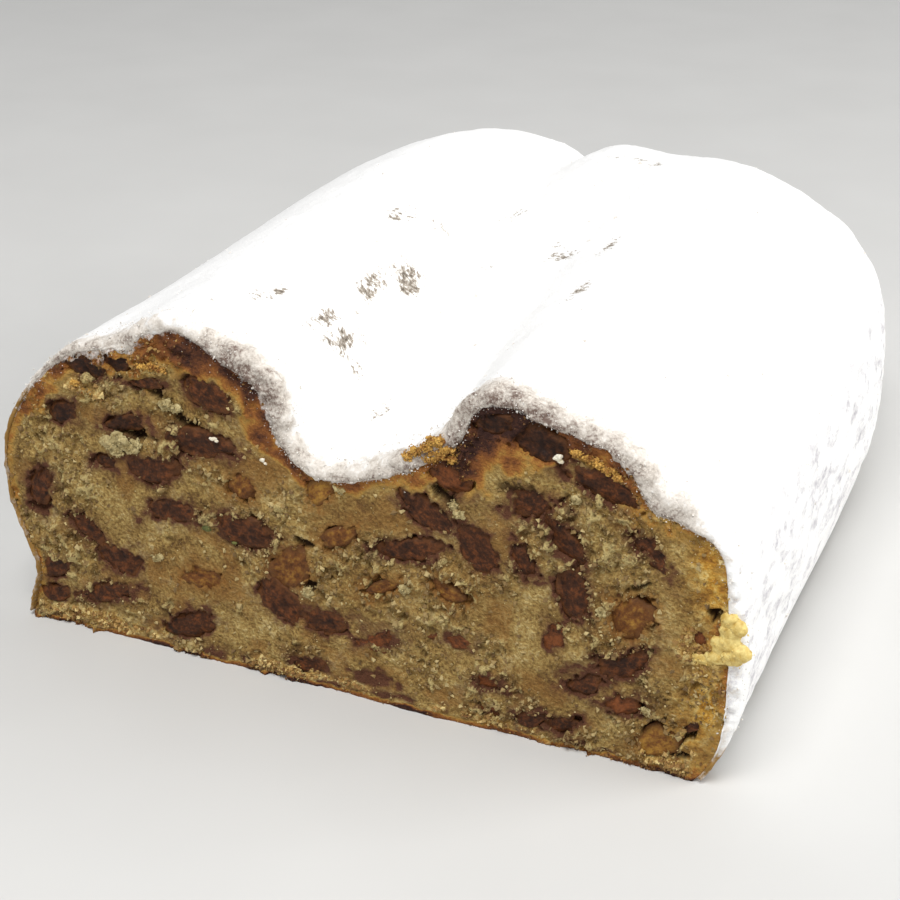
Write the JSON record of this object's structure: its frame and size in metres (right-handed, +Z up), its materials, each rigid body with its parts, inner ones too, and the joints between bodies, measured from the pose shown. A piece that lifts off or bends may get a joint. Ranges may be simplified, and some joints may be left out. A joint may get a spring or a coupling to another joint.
{
  "type": "stollen",
  "caption": "Cut half of a folded fruit loaf: two lobes with a groove between, a thick coat of icing sugar, and raisins and sultanas in the flat cut face.",
  "frame": {"origin": "middle of the footprint's box, on the surface that the loaf stands on", "axes": "+Y along the loaf, from the cut face to the uncut far end; +X to the right as the cut face is seen; +Z up"},
  "size_m": [0.1494, 0.1992, 0.0715],
  "materials": {
    "crumb": "matte, torn baked crumb with a golden to dark brown crust",
    "icing_sugar": "matte white powder",
    "raisin": "moist, wrinkled, dark brown to black",
    "sultana": "moist, slightly translucent, amber brown"
  },
  "bodies": {
    "root": {"loaf": "crumb", "sugar_coat": "icing_sugar", "raisin_01": "raisin", "raisin_02": "raisin", "raisin_03": "raisin", "raisin_04": "raisin", "raisin_05": "raisin", "raisin_06": "raisin", "raisin_07": "raisin", "raisin_08": "raisin", "raisin_09": "raisin", "raisin_10": "raisin", "raisin_11": "raisin", "raisin_12": "raisin", "raisin_13": "raisin", "raisin_14": "raisin", "raisin_15": "raisin", "raisin_16": "raisin", "raisin_17": "raisin", "raisin_18": "raisin", "raisin_19": "raisin", "raisin_20": "raisin", "raisin_21": "raisin", "raisin_22": "raisin", "raisin_23": "raisin", "raisin_24": "raisin", "raisin_25": "raisin", "raisin_26": "raisin", "raisin_27": "raisin", "raisin_28": "raisin", "raisin_29": "raisin", "raisin_30": "raisin", "raisin_31": "raisin", "raisin_32": "raisin", "raisin_33": "raisin", "raisin_34": "raisin", "raisin_35": "raisin", "raisin_36": "raisin", "raisin_37": "raisin", "raisin_38": "raisin", "raisin_39": "raisin", "raisin_40": "raisin", "raisin_41": "raisin", "raisin_42": "raisin", "raisin_43": "raisin", "raisin_44": "raisin", "raisin_45": "raisin", "sultana_01": "sultana", "sultana_02": "sultana", "sultana_03": "sultana", "sultana_04": "sultana", "sultana_05": "sultana", "sultana_06": "sultana", "sultana_07": "sultana", "sultana_08": "sultana", "sultana_09": "sultana"}
  },
  "joints": []
}
